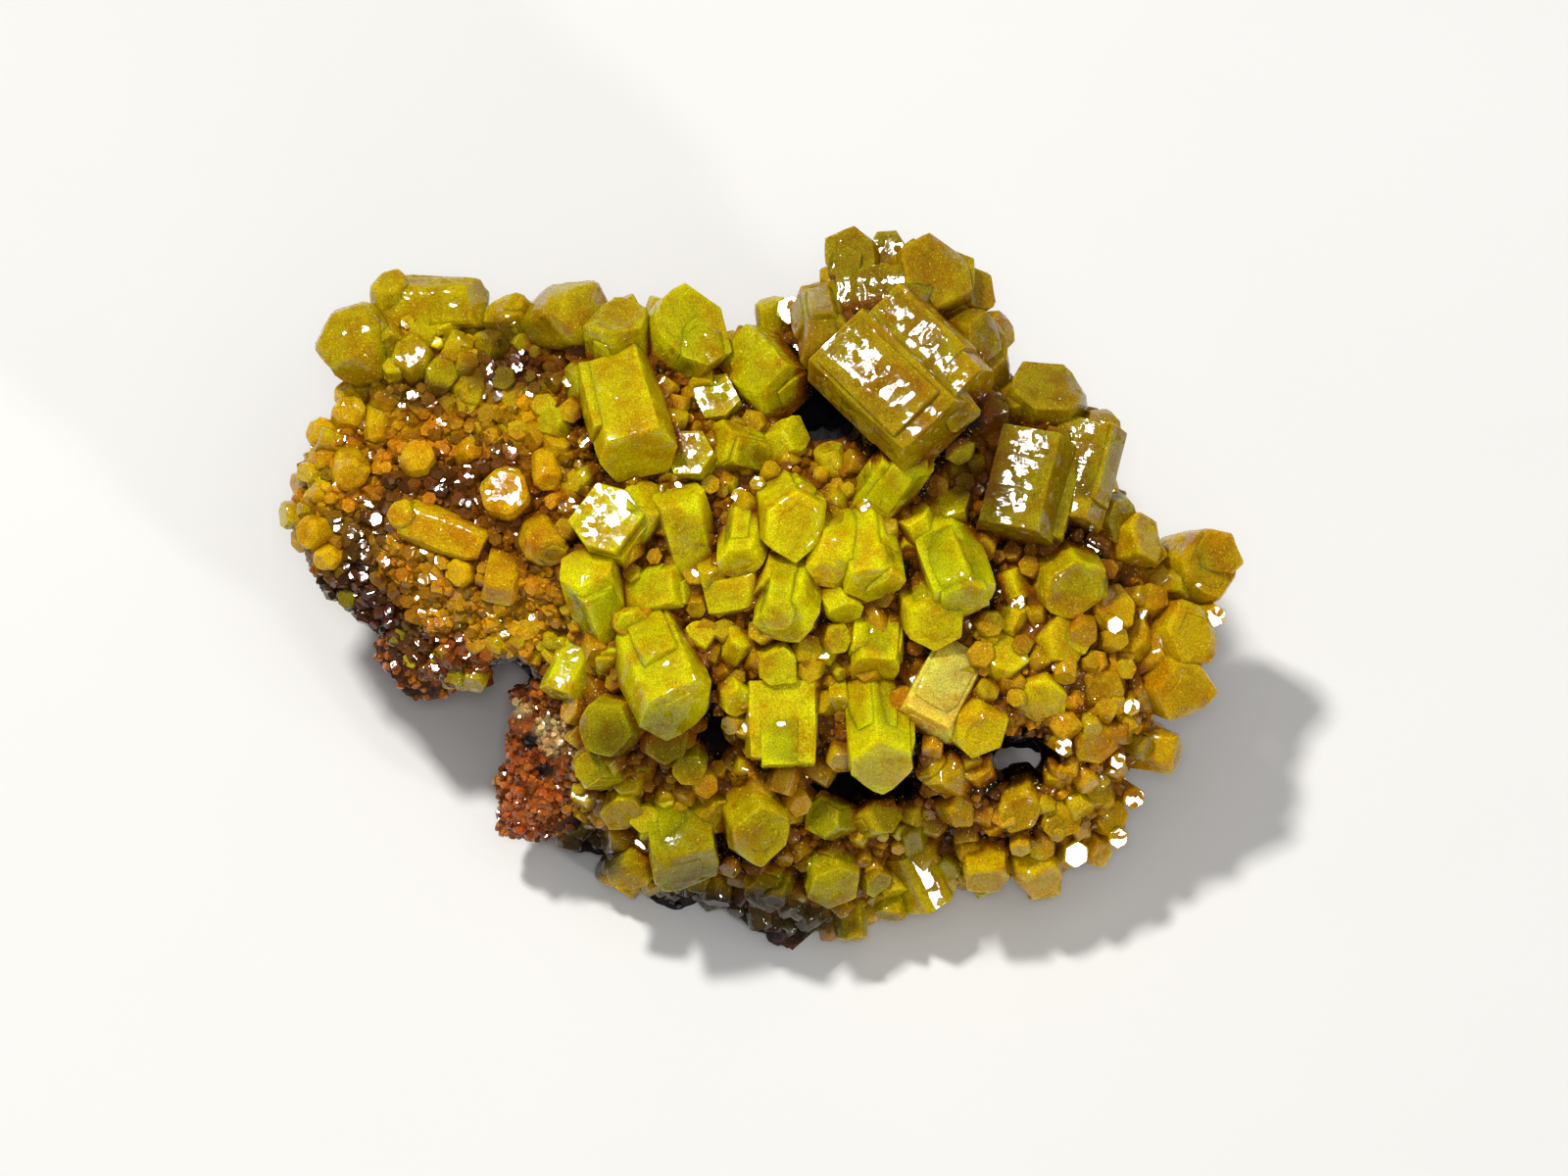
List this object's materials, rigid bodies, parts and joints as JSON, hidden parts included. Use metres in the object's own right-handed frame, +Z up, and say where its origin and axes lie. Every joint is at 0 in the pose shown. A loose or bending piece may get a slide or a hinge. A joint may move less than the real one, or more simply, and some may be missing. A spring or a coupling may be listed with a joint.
{
  "type": "pyromorphite mineral specimen",
  "caption": "Hand-size mineral specimen: stubby yellow hexagonal crystals in a crust over brown iron-stained rock, resting on a flat sawn base.",
  "frame": {"origin": "under the middle of the specimen, on the plane of its sawn base", "axes": "+Z up from the base, +X along the specimen's length, +Y towards its high edge; the crystal face looks up and forward, 20 degrees off +Z towards -Y"},
  "size_m": [0.0608, 0.0426, 0.0293],
  "materials": {
    "gossan": "rough, earthy, iron stained",
    "pyromorphite": "translucent, resinous, fine grooves across the faces",
    "pyromorphite_amber": "translucent, resinous, darker amber",
    "pyromorphite_olive": "translucent, resinous, olive yellow"
  },
  "bodies": {
    "root": {"gossan_rock": "gossan", "crystal_crust": "pyromorphite", "upper_right_cluster": "pyromorphite_amber", "right_cluster": "pyromorphite_olive"}
  },
  "joints": []
}
